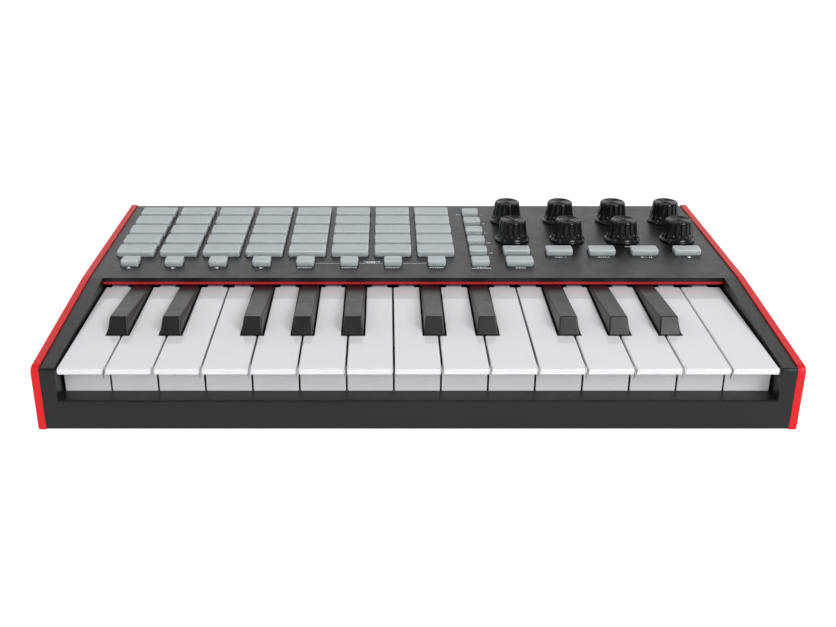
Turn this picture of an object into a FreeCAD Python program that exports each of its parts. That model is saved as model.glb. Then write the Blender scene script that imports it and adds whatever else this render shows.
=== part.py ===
"""Compact 25-note keyboard controller, modelled as an assembly of separate pieces.

Frame: millimetres, +Z up, X to the player's right, +Y to the rear.  The origin is the middle
of the footprint, on the surface that the rubber feet stand on.  Every piece is drawn from the
case corner (front face at Y = 0, underside at Z = 0) and its Placement moves it to the frame.
"""
import FreeCAD, Part
import os
import Sketcher

doc = FreeCAD.newDocument("KeyboardController")

# ---------------------------------------------------------------- driving dimensions
SIZES = [
    # keyboard
    ("WhitePitch", 19.42), ("WhiteGap", 0.8), ("WhiteTop", 27.0), ("WhiteFront", 0.6),
    ("LipThickness", 2.6), ("LipEdge", 0.8), ("SkirtSetback", 9.4), ("SkirtBottom", 8.0),
    ("KeyWall", 1.2), ("KeySkin", 2.0), ("KeyWallBottom", 18.5), ("NotchWidth", 10.4),
    ("NotchFront", 32.7), ("KeySideGap", 0.5),
    ("BlackWidth", 8.9), ("BlackTopWidth", 7.5), ("BlackFront", 33.6), ("BlackSlope", 4.4),
    ("BlackTop", 33.6), ("BlackRearTop", 28.3), ("BlackShoulder", 28.0), ("BlackEdge", 0.7), ("BlackBottom", 19.5),
    ("OffsetCSharp", -1.8), ("OffsetDSharp", 1.5), ("OffsetFSharp", -2.4),
    ("OffsetGSharp", -0.2), ("OffsetASharp", 2.1),
    # hinge line of the keys
    ("PivotSetback", 6.5), ("PivotHeight", 22.0), ("RodRadius", 1.5), ("RodClearance", 0.05),
    ("TailReach", 3.5), ("WhiteHinge", 7.6), ("BlackHinge", 5.0), ("EarThickness", 1.4),
    ("EarGap", 0.45),
    # case
    ("PanelFront", 85.5), ("PanelTop", 32.3), ("SlopeStart", 27.2), ("PanelThickness", 1.9),
    ("CaseWall", 2.2), ("CheekWidth", 6.2), ("CheekWall", 1.6), ("ShelfTop", 12.85),
    ("ShelfDepth", 9.0), ("ShelfThickness", 2.2), ("CaseEdge", 1.2), ("SoftEdge", 0.8),
    ("SideThickness", 3.4), ("SideProud", 0.7), ("SideDrop", 0.4), ("SideCorner", 3.2),
    ("SideEdge", 0.5), ("FeltHeight", 1.5), ("FeltDepth", 2.0), ("FeltSetback", 0.4),
    ("FloorRecess", 0.3), ("FloorThickness", 2.2), ("FloorGap", 0.25),
    ("FootHeight", 1.5), ("FootRadius", 6.0), ("FootInset", 16.0),
    # control panel layout, counted from the panel's front edge
    ("TrackRowOffset", 18.5), ("RowPitch", 14.8), ("PadDepth", 10.3), ("PadGap", 3.0),
    ("RearMargin", 11.6), ("EdgeMargin", 15.6), ("BlockGap", 19.0),
    ("SmallDepth", 7.2), ("SmallWidth", 8.6), ("WideWidth", 13.0), ("CapHeight", 2.8),
    ("CapCorner", 0.9), ("CapEdge", 0.55), ("CapClearance", 0.3),
    ("FlangeThickness", 1.2), ("FlangeMargin", 0.9), ("FlangeGap", 0.15),
    ("KnobRowOffset", 4.6), ("KnobFlangeRadius", 8.9), ("KnobFlangeHeight", 1.3),
    ("KnobBaseRadius", 7.7), ("KnobTopRadius", 6.5), ("KnobHeight", 10.7), ("KnobLift", 0.5),
    ("KnobCrown", 0.9), ("StemRadius", 3.0), ("StemClearance", 0.05), ("PanelHoleGap", 0.5),
    ("FluteRadius", 0.75), ("FluteBottom", 3.4), ("PointerAngle", 30.0),
    # inner parts and connectors
    ("BoardDepth", 4.9), ("BoardThickness", 1.6), ("BoardFront", 12.5), ("BoardGap", 0.8),
    ("PotWidth", 10.0), ("PotHeight", 4.4), ("PotDrop", 0.6),
    ("FrameTop", 14.6), ("FrameWall", 1.6), ("FrameFront", 15.6), ("FrameTail", 11.0),
    ("FrameSideGap", 0.6), ("ContactFront", 46.0), ("ContactDepth", 16.0),
    ("ContactThickness", 1.2), ("StandoffRadius", 3.0), ("StandoffInset", 12.0),
    ("UsbX", 100.0), ("UsbWidth", 12.0), ("UsbHeight", 11.0), ("UsbDepth", 16.0),
    ("UsbMouthWidth", 8.6), ("UsbMouthHeight", 7.9), ("UsbMouthDepth", 9.0),
    ("JackX", 75.0), ("JackWidth", 14.0), ("JackHeight", 12.5), ("JackDepth", 22.0),
    ("JackBore", 3.2), ("JackNose", 4.6), ("PortGap", 0.3), ("PortSink", 0.4),
    ("ScrewPitch", 80.0), ("ScrewRadius", 1.25), ("ScrewHead", 2.6), ("ScrewHeadHeight", 1.3),
    ("ScrewLength", 8.0), ("ScrewGap", 0.25), ("BossRadius", 3.2), ("BossInset", 2.6),
]
WHITE_KEYS = 15
BLACK_KEYS = [  # white key to the left (counted from 0) and the offset of the black key
    (0, "OffsetCSharp"), (1, "OffsetDSharp"), (3, "OffsetFSharp"), (4, "OffsetGSharp"),
    (5, "OffsetASharp"), (7, "OffsetCSharp"), (8, "OffsetDSharp"), (10, "OffsetFSharp"),
    (11, "OffsetGSharp"), (12, "OffsetASharp"),
]
PAD_COLUMNS, PAD_ROWS = 8, 5
SCREW_COLUMNS = 4
KNOB_COLUMNS, KNOB_ROWS = 4, 2
FLUTES = 16
WIDE_BUTTONS = ["sustain_button", "octave_down_button", "octave_up_button", "play_button",
                "record_button"]
BEYOND = 1.0   # how far a cutting shape runs past the face it cuts

# sizes that follow from the ones above, as formulas in the same sheet
DERIVED = [
    ("OpeningWidth", f"={WHITE_KEYS} * WhitePitch + 2 * KeySideGap"),
    ("CaseWidth", "=OpeningWidth + 2 * CheekWidth"),
    ("OverallWidth", "=CaseWidth + 2 * SideThickness"),
    ("FirstRow", "=PanelFront + TrackRowOffset"),
    ("CaseDepth", f"=FirstRow + {PAD_ROWS} * RowPitch + PadDepth / 2 + RearMargin"),
    ("ColumnPitch", "=(CaseWidth - 2 * EdgeMargin - BlockGap) / 12"),
    ("FirstColumn", "=EdgeMargin - CaseWidth / 2"),
    ("SceneColumn", f"=FirstColumn + {PAD_COLUMNS} * ColumnPitch"),
    ("WideColumn", "=SceneColumn + BlockGap"),
    ("KnobPitch", "=4 * ColumnPitch / 3"),
    ("KnobRow", "=FirstRow + 2 * RowPitch + KnobRowOffset"),
    ("PadWidth", "=ColumnPitch - PadGap"),
    ("PanelUnderside", "=PanelTop - PanelThickness"),
    ("FlangeTop", "=PanelUnderside - FlangeGap"),
    ("BoardTop", "=PanelUnderside - BoardDepth"),
    ("BoardBottom", "=BoardTop - BoardThickness"),
    ("FloorTop", "=FloorRecess + FloorThickness"),
    ("ShelfBottom", "=ShelfTop - ShelfThickness"),
    ("PivotY", "=PanelFront + PivotSetback"),
    ("TailEnd", "=PivotY + TailReach"),
    ("NeckY", "=PivotY - TailReach - KeyWall"),
    ("WhiteWidth", "=WhitePitch - WhiteGap"),
    ("PortFace", "=CaseDepth - PortSink"),
    ("RearBossY", "=CaseDepth - CaseWall - BossInset"),
    ("FrontBossY", "=CaseWall + BossInset"),
    ("Slope", "=(PanelTop - SlopeStart) / PanelFront"),
]

sheet = doc.addObject("Spreadsheet::Sheet", "Sizes")
for row, (alias, number) in enumerate(SIZES + DERIVED, start=1):
    sheet.set(f"A{row}", alias)
    sheet.set(f"B{row}", str(number))
    sheet.setAlias(f"B{row}", alias)
doc.recompute()
ALIASES = sorted((name for name, number in SIZES + DERIVED), key=len, reverse=True)


def bound(expression):
    """The expression with each size's name written as a reference to the sheet."""
    words = []
    for word in str(expression).replace("(", "( ").replace(")", " )").split():
        sign = "-" if word.startswith("-") and word[1:] in ALIASES else ""
        name = word[len(sign):]
        words.append(f"{sign}Sizes.{name}" if name in ALIASES else word)
    return " ".join(words)


def value(expression):
    """The number that the expression has now."""
    return float(sheet.evalExpression(bound(expression)))


# ---------------------------------------------------------------- drawing helpers
def new_body(label, x="0"):
    """An empty body whose own X = 0 plane stands at x in the frame."""
    body = doc.addObject("PartDesign::Body", "Body_" + label)
    body.Label = label
    place(body, x)
    return body


def place(piece, x="0", y="0", z="0"):
    """Move a piece from the case corner to the frame, at x, y, z in case coordinates."""
    piece.setExpression("Placement.Base.x", bound(x))
    piece.setExpression("Placement.Base.y", bound(f"{y} - CaseDepth / 2"))
    piece.setExpression("Placement.Base.z", bound(f"{z} + FootHeight"))


def new_sketch(body, plane, offset="0"):
    """A sketch on one of the body's origin planes, moved along the plane's normal."""
    sketch = body.newObject("Sketcher::SketchObject", "Sketch")
    support = [item for item in body.Origin.OriginFeatures if item.Role == plane][0]
    sketch.AttachmentSupport = [(support, "")]
    sketch.MapMode = "FlatFace"
    sketch.setExpression("AttachmentOffset.Base.z", bound(offset))
    return sketch


def pin_point(sketch, geometry, position, point):
    """Hold one point of a sketch at the two expressions of its coordinates."""
    for kind, expression in zip(("DistanceX", "DistanceY"), point):
        rule = Sketcher.Constraint(kind, -1, 1, geometry, position, value(expression))
        index = sketch.addConstraint(rule)
        sketch.setExpression(f"Constraints[{index}]", bound(expression))


def polygon(body, plane, points, offset="0"):
    """A closed outline through the points, each held by its own two dimensions."""
    sketch = new_sketch(body, plane, offset)
    corners = [FreeCAD.Vector(value(x), value(y), 0) for x, y in points]
    for start, end in zip(corners, corners[1:] + corners[:1]):
        sketch.addGeometry(Part.LineSegment(start, end))
    for index in range(len(points)):
        following = (index + 1) % len(points)
        sketch.addConstraint(Sketcher.Constraint("Coincident", index, 2, following, 1))
    for index, point in enumerate(points):
        pin_point(sketch, index, 1, point)
    return sketch


def rectangle(body, plane, left, front, right, rear, offset="0"):
    corners = [(left, front), (right, front), (right, rear), (left, rear)]
    return polygon(body, plane, corners, offset)


def circle(body, plane, centre, radius, offset="0"):
    sketch = new_sketch(body, plane, offset)
    middle = FreeCAD.Vector(value(centre[0]), value(centre[1]), 0)
    sketch.addGeometry(Part.Circle(middle, FreeCAD.Vector(0, 0, 1), value(radius)))
    pin_point(sketch, 0, 3, centre)
    index = sketch.addConstraint(Sketcher.Constraint("Radius", 0, value(radius)))
    sketch.setExpression(f"Constraints[{index}]", bound(radius))
    return sketch


def extrude(body, kind, sketch, length, both_ways=False, reverse=False):
    """A Pad or a Pocket of the sketch; it must change the volume, so a wrong side shows."""
    doc.recompute([body])
    before = body.Shape.Volume if body.Tip else 0.0
    feature = body.newObject("PartDesign::" + kind, kind)
    feature.Profile = sketch
    feature.SideType = "Symmetric" if both_ways else "One side"
    feature.Reversed = reverse
    feature.setExpression("Length", bound(length))
    doc.recompute([body])
    if abs(body.Shape.Volume - before) < 1e-6:
        raise RuntimeError(f"{body.Label}: a {kind} changes nothing")
    return feature


def pad(body, sketch, length, both_ways=False, reverse=False):
    return extrude(body, "Pad", sketch, length, both_ways, reverse)


def pocket(body, sketch, length, both_ways=False, reverse=False):
    return extrude(body, "Pocket", sketch, length, both_ways, reverse)


def repeat(body, features, sketch, columns, pitch, rows=1, row_pitch=None, whole=False):
    """A linear pattern of the features along the sketch's own axes."""
    pattern = body.newObject("PartDesign::LinearPattern", "LinearPattern")
    pattern.TransformMode = "Whole shape" if whole else "Features"
    pattern.Originals = [] if whole else features
    pattern.Direction = (sketch, ["H_Axis"])
    pattern.Occurrences = columns
    pattern.setExpression("Length", bound(f"{columns - 1} * ({pitch})"))
    if rows > 1:
        pattern.Direction2 = (sketch, ["V_Axis"])
        pattern.Occurrences2 = rows
        pattern.setExpression("Length2", bound(f"{rows - 1} * ({row_pitch})"))
    body.Tip = pattern
    doc.recompute([body])
    return pattern


def soften(body, wanted, radius, kind="Fillet"):
    """Round or chamfer the edges of the body's tip whose middle point is wanted."""
    doc.recompute([body])
    base = body.Tip
    names = []
    for index, edge in enumerate(base.Shape.Edges, start=1):
        ends = [vertex.Point for vertex in edge.Vertexes]
        if len(ends) == 2 and wanted((ends[0] + ends[1]) * 0.5, ends[1] - ends[0]):
            names.append(f"Edge{index}")
    if not names:
        raise RuntimeError(f"{body.Label}: no edge to soften")
    feature = body.newObject("PartDesign::" + kind, kind)
    feature.Base = (base, names)
    feature.setExpression("Radius" if kind == "Fillet" else "Size", bound(radius))
    body.Tip = feature
    doc.recompute([body])
    return feature


def near(number, expression, tolerance=0.02):
    return abs(number - value(expression)) < tolerance


def part_box(label, x, y, z, width, depth, height):
    """A Part box with its lower left front corner at x, y, z in case coordinates."""
    box = doc.addObject("Part::Box", "Box_" + label)
    box.Label = label
    for side, size in (("Length", width), ("Width", depth), ("Height", height)):
        box.setExpression(side, bound(size))
    place(box, x, y, z)
    return box


# ---------------------------------------------------------------- case
def side_profile(start, top, drop):
    """Outline of the case seen from the side: a sloped front and a level control panel."""
    return [("0", drop), ("0", start), ("PanelFront", top), ("CaseDepth", top),
            ("CaseDepth", drop)]


def top_case():
    body = new_body("top_case")
    profile = polygon(body, "YZ_Plane", side_profile("SlopeStart", "PanelTop", "0"))
    pad(body, profile, "CaseWidth", both_ways=True)
    soften(body, lambda m, d: abs(d.x) > 1 and near(m.y, "0") and near(m.z, "SlopeStart")
           or abs(d.x) > 1 and near(m.y, "CaseDepth") and near(m.z, "PanelTop"), "CaseEdge")

    skin = "PanelThickness"
    cavity = [("CaseWall", f"-{BEYOND}"),
              ("CaseWall", f"SlopeStart - {skin} + Slope * CaseWall"),
              ("PanelFront", f"PanelTop - {skin}"),
              ("CaseDepth - CaseWall", f"PanelTop - {skin}"),
              ("CaseDepth - CaseWall", f"-{BEYOND}")]
    pocket(body, polygon(body, "YZ_Plane", cavity), "CaseWidth - 2 * CaseWall", both_ways=True)

    # the inner wall of each cheek, beside the keys
    cheek = [("CaseWall / 2", "FloorTop"), ("CaseWall / 2", "SlopeStart - 1"),
             ("PanelFront", "PanelTop - 1"), ("PanelFront", "FloorTop")]
    for sign, reverse in (("", False), ("-", True)):
        sketch = polygon(body, "YZ_Plane", cheek, f"{sign}1 * OpeningWidth / 2")
        pad(body, sketch, "CheekWall", reverse=reverse)

    # the well that the keys lie in, and the shelf in front of them
    well = [(f"-{BEYOND}", "ShelfTop"), ("PanelFront", "ShelfTop"),
            ("PanelFront", f"PanelTop + {BEYOND}"), (f"-{BEYOND}", f"PanelTop + {BEYOND}")]
    pocket(body, polygon(body, "YZ_Plane", well), "OpeningWidth", both_ways=True)
    shelf = [("CaseWall / 2", "ShelfBottom"), ("ShelfDepth", "ShelfBottom"),
             ("ShelfDepth", "ShelfTop"), ("CaseWall / 2", "ShelfTop")]
    pad(body, polygon(body, "YZ_Plane", shelf), "OpeningWidth + CheekWall", both_ways=True)
    soften(body, lambda m, d: abs(d.x) > 1 and near(m.y, "0") and near(m.z, "ShelfTop"),
           "SoftEdge")

    # openings for the pads, buttons and knob stems
    cut_caps(body, "FirstColumn", "FirstRow + RowPitch", "PadWidth", "PadDepth",
             PAD_COLUMNS, PAD_ROWS)
    cut_caps(body, "FirstColumn", "FirstRow", "SmallWidth", "SmallDepth", PAD_COLUMNS, 1)
    cut_caps(body, "SceneColumn", "FirstRow", "SmallWidth", "SmallDepth", 1, PAD_ROWS + 1)
    cut_caps(body, "WideColumn", "FirstRow + RowPitch", "WideWidth", "SmallDepth",
             len(WIDE_BUTTONS), 1)
    cut_caps(body, "WideColumn", "FirstRow", "WideWidth", "SmallDepth", 1, 1)
    stem_hole = circle(body, "XY_Plane", ("WideColumn", "KnobRow"),
                       "StemRadius + PanelHoleGap", f"PanelTop + {BEYOND}")
    hole = pocket(body, stem_hole, f"PanelThickness + {2 * BEYOND}")
    repeat(body, [hole], stem_hole, KNOB_COLUMNS, "KnobPitch", KNOB_ROWS, "2 * RowPitch")

    # screw bosses behind the front shelf and the rear wall
    for row, height in (("FrontBossY", "ShelfBottom - FloorTop"), ("RearBossY", "ShelfBottom")):
        first = (f"-{SCREW_COLUMNS - 1} * ScrewPitch / 2", row)
        boss_sketch = circle(body, "XY_Plane", first, "BossRadius", "FloorTop")
        boss = pad(body, boss_sketch, height)
        repeat(body, [boss], boss_sketch, SCREW_COLUMNS, "ScrewPitch")
        pilot_sketch = circle(body, "XY_Plane", first, "ScrewRadius", "FloorTop")
        pilot = pocket(body, pilot_sketch, "ScrewLength", reverse=True)
        repeat(body, [pilot], pilot_sketch, SCREW_COLUMNS, "ScrewPitch")

    # openings in the rear wall for the two sockets
    inside = f"{BEYOND} + CaseWall - CaseDepth"
    usb = rectangle(body, "XZ_Plane", "UsbX - UsbWidth / 2 - PortGap",
                    "BoardBottom - UsbHeight - PortGap", "UsbX + UsbWidth / 2 + PortGap",
                    "BoardBottom + PortGap", inside)
    pocket(body, usb, f"CaseWall + {2 * BEYOND}")
    jack = circle(body, "XZ_Plane", ("JackX", "BoardBottom - JackHeight / 2"),
                  "JackNose + PortGap", inside)
    pocket(body, jack, f"CaseWall + {2 * BEYOND}")
    return body


def cut_caps(body, x, y, width, depth, columns, rows):
    """Openings in the panel for a block of caps whose first one is centred at x, y."""
    half_width, half_depth = f"({width}) / 2 + CapClearance", f"({depth}) / 2 + CapClearance"
    sketch = rectangle(body, "XY_Plane", f"{x} - ({half_width})", f"{y} - ({half_depth})",
                       f"{x} + ({half_width})", f"{y} + ({half_depth})",
                       f"PanelTop + {BEYOND}")
    cut = pocket(body, sketch, f"PanelThickness + {2 * BEYOND}")
    if columns > 1:
        repeat(body, [cut], sketch, columns, "ColumnPitch", rows, "RowPitch")
    elif rows > 1:
        pattern = body.newObject("PartDesign::LinearPattern", "LinearPattern")
        pattern.Originals = [cut]
        pattern.Direction = (sketch, ["V_Axis"])
        pattern.Occurrences = rows
        pattern.setExpression("Length", bound(f"{rows - 1} * RowPitch"))
        body.Tip = pattern
        doc.recompute([body])


def side_panel(label, sign):
    """One coloured end panel; it stands a little proud of the case all along its top."""
    body = new_body(label, f"{sign} * (CaseWidth + SideThickness) / 2")
    outline = side_profile("SlopeStart + SideProud", "PanelTop + SideProud", "-SideDrop")
    pad(body, polygon(body, "YZ_Plane", outline), "SideThickness", both_ways=True)
    soften(body, lambda m, d: abs(d.x) > 1 and near(m.y, "0") and m.z > value("ShelfTop"),
           "SideCorner")
    soften(body, lambda m, d: abs(d.x) > 1 and near(m.y, "CaseDepth") and m.z > 1, "CaseEdge")
    outer = 1 if sign == "1" else -1
    soften(body, lambda m, d: near(m.x * outer, "SideThickness / 2"), "SideEdge", "Chamfer")
    return body


def bottom_case():
    """Floor plate with standoffs for the main board, recesses for the screws' heads."""
    body = new_body("bottom_case")
    inside = "(CaseWidth / 2 - CaseWall - FloorGap)"
    plate = rectangle(body, "XY_Plane", f"-1 * {inside}", "CaseWall + FloorGap", inside,
                      "CaseDepth - CaseWall - FloorGap", "FloorRecess")
    pad(body, plate, "FloorThickness")
    standoff = circle(body, "XY_Plane", (f"StandoffInset - {inside}",
                                         "PanelFront + BoardFront + StandoffInset"),
                      "StandoffRadius", "FloorTop - 0.5")
    post = pad(body, standoff, "BoardBottom - FloorTop + 0.5")
    repeat(body, [post], standoff, 3, f"{inside} - StandoffInset", 2,
           "CaseDepth - PanelFront - BoardFront - CaseWall - 3 * StandoffInset")
    for row in ("FrontBossY", "RearBossY"):
        first = (f"-{SCREW_COLUMNS - 1} * ScrewPitch / 2", row)
        recess_sketch = circle(body, "XY_Plane", first, "ScrewHead + ScrewGap", "FloorRecess")
        recess = pocket(body, recess_sketch, "ScrewHeadHeight", reverse=True)
        repeat(body, [recess], recess_sketch, SCREW_COLUMNS, "ScrewPitch")
        hole_sketch = circle(body, "XY_Plane", first, "ScrewRadius + ScrewGap", "FloorRecess")
        hole = pocket(body, hole_sketch, f"FloorThickness + {BEYOND}", reverse=True)
        repeat(body, [hole], hole_sketch, SCREW_COLUMNS, "ScrewPitch")
    return body


def case_screws():
    """Two rows of pan-head screws, driven up through the floor into the case's bosses."""
    body = new_body("case_screws")
    first = (f"-{SCREW_COLUMNS - 1} * ScrewPitch / 2", "FrontBossY")
    head_sketch = circle(body, "XY_Plane", first, "ScrewHead", "FloorRecess")
    pad(body, head_sketch, "ScrewHeadHeight")
    shank = circle(body, "XY_Plane", first, "ScrewRadius", "FloorRecess")
    pad(body, shank, "FloorThickness + ScrewLength")
    slot = rectangle(body, "XY_Plane", f"{first[0]} - ScrewHead / 2", f"{first[1]} - 0.4",
                     f"{first[0]} + ScrewHead / 2", f"{first[1]} + 0.4", "FloorRecess")
    pocket(body, slot, "ScrewHeadHeight / 2", reverse=True)
    repeat(body, [], head_sketch, SCREW_COLUMNS, "ScrewPitch", 2, "RearBossY - FrontBossY",
           whole=True)
    return body


def rubber_feet():
    body = new_body("rubber_feet")
    inset = "FootInset + FootRadius"
    foot = circle(body, "XY_Plane", (f"{inset} - CaseWidth / 2", f"{inset}"), "FootRadius",
                  "-FootHeight")
    pad(body, foot, "FootHeight + FloorRecess")
    repeat(body, [], foot, 2, f"CaseWidth - 2 * ({inset})", 2, f"CaseDepth - 2 * ({inset})",
           whole=True)
    return body


def felt_strip():
    return part_box("felt_strip", "-OpeningWidth / 2", "PanelFront + FeltSetback",
                    "PanelUnderside - FeltHeight", "OpeningWidth", "FeltDepth", "FeltHeight")


# ---------------------------------------------------------------- keys
def key_hinge(body):
    """Bore across the key's tail for the hinge rod."""
    bore = circle(body, "YZ_Plane", ("PivotY", "PivotHeight"), "RodRadius + RodClearance")
    pocket(body, bore, "2 * WhitePitch", both_ways=True)


def white_outline(left, right, tail_left, tail_right):
    """Plan outline of a key: head, tail between the black keys, and narrow hinge end."""
    middle = f"(({tail_left}) + ({tail_right})) / 2"
    hinge_left, hinge_right = f"{middle} - WhiteHinge / 2", f"{middle} + WhiteHinge / 2"
    points = [(left, "WhiteFront"), (right, "WhiteFront")]
    if tail_right != right:
        points += [(right, "NotchFront"), (tail_right, "NotchFront")]
    points += [(tail_right, "NeckY"), (hinge_right, "NeckY"), (hinge_right, "TailEnd"),
               (hinge_left, "TailEnd"), (hinge_left, "NeckY"), (tail_left, "NeckY")]
    if tail_left != left:
        points += [(tail_left, "NotchFront"), (left, "NotchFront")]
    return points


def white_key(index):
    """A white key: top with an overhanging lip, front skirt, side walls and hinge tail."""
    label = f"white_key_{index + 1:02d}"
    body = new_body(label, f"{index - WHITE_KEYS // 2} * WhitePitch")
    left_offset = dict((white + 1, offset) for white, offset in BLACK_KEYS).get(index)
    right_offset = dict(BLACK_KEYS).get(index)
    left, right = "-WhiteWidth / 2", "WhiteWidth / 2"
    tail_left = f"NotchWidth / 2 + {left_offset} - WhitePitch / 2" if left_offset else left
    tail_right = f"WhitePitch / 2 + {right_offset} - NotchWidth / 2" if right_offset else right
    outline = white_outline(left, right, tail_left, tail_right)
    pad(body, polygon(body, "XY_Plane", outline, "SkirtBottom"), "WhiteTop - SkirtBottom")

    # space under the lip, in front of the skirt, and below the side walls
    reach = "2 * WhitePitch"
    under_lip = [("WhiteFront - 1", "SkirtBottom - 1"), ("SkirtSetback", "SkirtBottom - 1"),
                 ("SkirtSetback", "WhiteTop - LipThickness"),
                 ("WhiteFront - 1", "WhiteTop - LipThickness")]
    pocket(body, polygon(body, "YZ_Plane", under_lip), reach, both_ways=True)
    below_walls = [("SkirtSetback + KeyWall", "SkirtBottom - 1"), ("TailEnd + 1", "SkirtBottom - 1"),
                   ("TailEnd + 1", "KeyWallBottom"), ("SkirtSetback + KeyWall", "KeyWallBottom")]
    pocket(body, polygon(body, "YZ_Plane", below_walls), reach, both_ways=True)

    # hollow between the side walls
    inner_left, inner_right = f"{tail_left} + KeyWall", f"{tail_right} - KeyWall"
    head_left, head_right = f"{left} + KeyWall", f"{right} - KeyWall"
    head_front, head_rear = "SkirtSetback + KeyWall", "NotchFront - KeyWall"
    rear = "NeckY - KeyWall"
    hollow = [(head_left, head_front), (head_right, head_front)]
    if right_offset:
        hollow += [(head_right, head_rear), (inner_right, head_rear)]
    hollow += [(inner_right, rear), (inner_left, rear)]
    if left_offset:
        hollow += [(inner_left, head_rear), (head_left, head_rear)]
    pocket(body, polygon(body, "XY_Plane", hollow, "WhiteTop - KeySkin"), "WhiteTop")
    key_hinge(body)
    soften(body, lambda m, d: near(m.y, "WhiteFront") and m.z > value("WhiteTop - LipThickness / 2")
           and abs(d.x) > 1, "LipEdge")
    return body


def black_key(number):
    """A black key: sloped front, tapering sides, and a tail on the same hinge rod."""
    label = f"black_key_{number + 1:02d}"
    body = new_body(label, black_key_x(number))
    profile = [("BlackFront", "BlackBottom"), ("BlackFront", "WhiteTop"),
               ("BlackFront + BlackSlope", "BlackTop"), ("NeckY", "BlackRearTop"),
               ("TailEnd", "BlackRearTop"), ("TailEnd", "BlackBottom")]
    pad(body, polygon(body, "YZ_Plane", profile), "BlackWidth", both_ways=True)
    for side in ("1", "-1"):
        taper = [(f"{side} * BlackWidth / 2", "BlackShoulder"),
                 (f"{side} * (BlackWidth / 2 + {BEYOND})", "BlackShoulder"),
                 (f"{side} * (BlackWidth / 2 + {BEYOND})", f"BlackTop + {BEYOND}"),
                 (f"{side} * BlackTopWidth / 2", f"BlackTop + {BEYOND}"),
                 (f"{side} * BlackTopWidth / 2", "BlackTop")]
        pocket(body, polygon(body, "XZ_Plane", taper), "2 * CaseDepth", both_ways=True)
        narrow = rectangle(body, "XY_Plane", f"{side} * BlackHinge / 2", "NeckY",
                           f"{side} * BlackWidth", f"TailEnd + {BEYOND}")
        pocket(body, narrow, "2 * BlackTop", both_ways=True)
    hollow = rectangle(body, "XY_Plane", "KeyWall - BlackWidth / 2", "BlackFront + 2 * KeyWall",
                       "BlackWidth / 2 - KeyWall", "NeckY - KeyWall",
                       "BlackRearTop - KeySkin")
    pocket(body, hollow, "WhiteTop")
    key_hinge(body)
    soften(body, lambda m, d: m.z > value("BlackShoulder") + 1.5
           and m.y < value("PanelFront"), "BlackEdge")
    return body


def black_key_x(number):
    white, offset = BLACK_KEYS[number]
    return f"{white - WHITE_KEYS // 2 + 0.5} * WhitePitch + {offset}"


def keybed_frame():
    """Channel that stands on the floor, with ears that hold the hinge rod between tails."""
    body = new_body("keybed_frame")
    rear = "PanelFront + FrameTail"
    span = "OpeningWidth - 2 * FrameSideGap"
    section = [("FrameFront", "FloorTop"), ("FrameFront + FrameWall", "FloorTop"),
               ("FrameFront + FrameWall", "FrameTop - FrameWall"),
               (f"{rear} - FrameWall", "FrameTop - FrameWall"),
               (f"{rear} - FrameWall", "FloorTop"), (rear, "FloorTop"), (rear, "FrameTop"),
               ("FrameFront", "FrameTop")]
    pad(body, polygon(body, "YZ_Plane", section), span, both_ways=True)
    ear_left_edges = [f"{black_key_x(number)} - BlackHinge / 2 - EarGap - EarThickness"
                      for number in range(len(BLACK_KEYS))]
    ear_left_edges += [f"-({span}) / 2", f"({span}) / 2 - EarThickness"]
    for left in ear_left_edges:
        ear = [("PivotY - TailReach", "FrameTop - FrameWall / 2"),
               ("TailEnd", "FrameTop - FrameWall / 2"), ("TailEnd", "PivotHeight + TailReach"),
               ("PivotY - TailReach", "PivotHeight + TailReach")]
        pad(body, polygon(body, "YZ_Plane", ear, left), "EarThickness")
    bore = circle(body, "YZ_Plane", ("PivotY", "PivotHeight"), "RodRadius")
    pocket(body, bore, "OpeningWidth", both_ways=True)
    return body


def hinge_rod():
    rod = doc.addObject("Part::Cylinder", "Rod")
    rod.Label = "key_hinge_rod"
    rod.setExpression("Radius", bound("RodRadius"))
    rod.setExpression("Height", bound("OpeningWidth - 2 * FrameSideGap"))
    rod.Placement.Rotation = FreeCAD.Rotation(FreeCAD.Vector(0, 1, 0), 90)
    place(rod, "FrameSideGap - OpeningWidth / 2", "PivotY", "PivotHeight")
    return rod


def key_contact_board():
    return part_box("key_contact_board", "FrameSideGap - OpeningWidth / 2", "ContactFront",
                    "FrameTop", "OpeningWidth - 2 * FrameSideGap", "ContactDepth",
                    "ContactThickness")


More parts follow.
